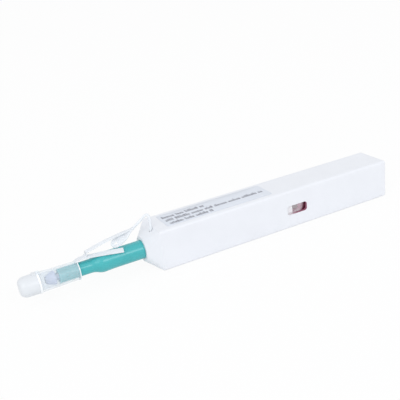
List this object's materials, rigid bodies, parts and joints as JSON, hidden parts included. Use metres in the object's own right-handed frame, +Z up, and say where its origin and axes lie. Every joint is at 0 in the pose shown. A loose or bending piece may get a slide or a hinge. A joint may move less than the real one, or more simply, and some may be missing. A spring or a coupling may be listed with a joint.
{
  "type": "fibre connector cleaning pen",
  "caption": "Push-to-click cleaning pen: square housing over a sprung carriage with tape reels, turning tip, nozzle, hinged guide cap and strap.",
  "frame": {"origin": "centre of the housing's flat underside, on which the pen lies", "axes": "+X along the pen towards its rear end, nozzle towards -X; +Z up through the label; window side towards -Y"},
  "size_m": [0.1756, 0.018, 0.0244],
  "materials": {
    "housing_white": "fine satin moulded plastic",
    "label_film": "pale grey printed film",
    "inner_white": "natural white moulding",
    "bright_steel": "drawn wire and ground pin",
    "clear_strap": "translucent soft moulding",
    "nozzle_teal": "satin moulded plastic",
    "tape_white": "woven microfibre tape",
    "shaft_white": "smooth white moulding",
    "reel_maroon": "gloss moulded plastic",
    "clear_cap": "clear moulded plastic",
    "milky_lid": "milky moulded plastic"
  },
  "bodies": {
    "housing": {"housing_near_shell": "housing_white", "housing_far_shell": "housing_white", "top_label": "label_film", "feed_rack": "inner_white", "turn_pin": "bright_steel", "return_spring": "bright_steel", "strap_tie": "clear_strap"},
    "carriage": {"nozzle": "nozzle_teal", "carriage_frame": "inner_white", "takeup_axle": "bright_steel", "supply_axle": "bright_steel", "tape_guide_pin": "bright_steel", "ratchet_pawl": "inner_white", "cleaning_tape": "tape_white"},
    "turning_shaft": {"tip_shaft": "shaft_white", "tip_spring": "bright_steel"},
    "tip": {"cleaning_tip": "shaft_white"},
    "takeup": {"takeup_reel": "reel_maroon", "takeup_tape_roll": "tape_white"},
    "pinion": {"drive_pinion": "reel_maroon"},
    "supply": {"supply_reel": "reel_maroon", "supply_tape_roll": "tape_white"},
    "cap": {"guide_cap": "clear_cap", "cap_strap": "clear_strap"},
    "lid": {"cap_lid": "milky_lid"}
  },
  "joints": [
    {"name": "nozzle_push", "type": "slide", "parent": "housing", "child": "carriage", "axis": [1, 0, 0], "range_m": [0, 0.0085], "stiffness_N_per_m": 300, "springref_m": -0.008, "deforming": ["return_spring", "strap_tie"]},
    {"name": "tip_turn", "type": "hinge", "parent": "carriage", "child": "turning_shaft", "pos_m": [-0.012, 0, 0.0086], "axis": [1, 0, 0], "range_deg": [0, 181], "deforming": ["cleaning_tape"]},
    {"name": "tip_press", "type": "slide", "parent": "turning_shaft", "child": "tip", "axis": [1, 0, 0], "range_m": [0, 0.001], "stiffness_N_per_m": 100, "springref_m": -0.004, "deforming": ["tip_spring"]},
    {"name": "takeup_turn", "type": "hinge", "parent": "carriage", "child": "takeup", "pos_m": [0.008, 0, 0.009], "axis": [0, 1, 0], "continuous": true},
    {"name": "pinion_turn", "type": "hinge", "parent": "carriage", "child": "pinion", "pos_m": [0.008, 0, 0.009], "axis": [0, 1, 0], "range_deg": [-110, 0]},
    {"name": "supply_turn", "type": "hinge", "parent": "carriage", "child": "supply", "pos_m": [0.0225, 0, 0.009], "axis": [0, 1, 0], "continuous": true},
    {"name": "cap_pull", "type": "slide", "parent": "carriage", "child": "cap", "axis": [-1, 0, 0], "range_m": [0, 0.02], "deforming": ["cap_strap"]},
    {"name": "lid_open", "type": "hinge", "parent": "cap", "child": "lid", "pos_m": [-0.1092, 0, 0.01335], "axis": [0, 1, 0], "range_deg": [0, 130]}
  ],
  "couplings": [
    {"joint": "tip_turn", "follows": "nozzle_push", "rad_per_m": 369.6},
    {"joint": "pinion_turn", "follows": "nozzle_push", "rad_per_m": -222.22},
    {"joint": "takeup_turn", "follows": "nozzle_push", "rad_per_m": -222.22},
    {"joint": "supply_turn", "follows": "nozzle_push", "rad_per_m": -150.79}
  ]
}
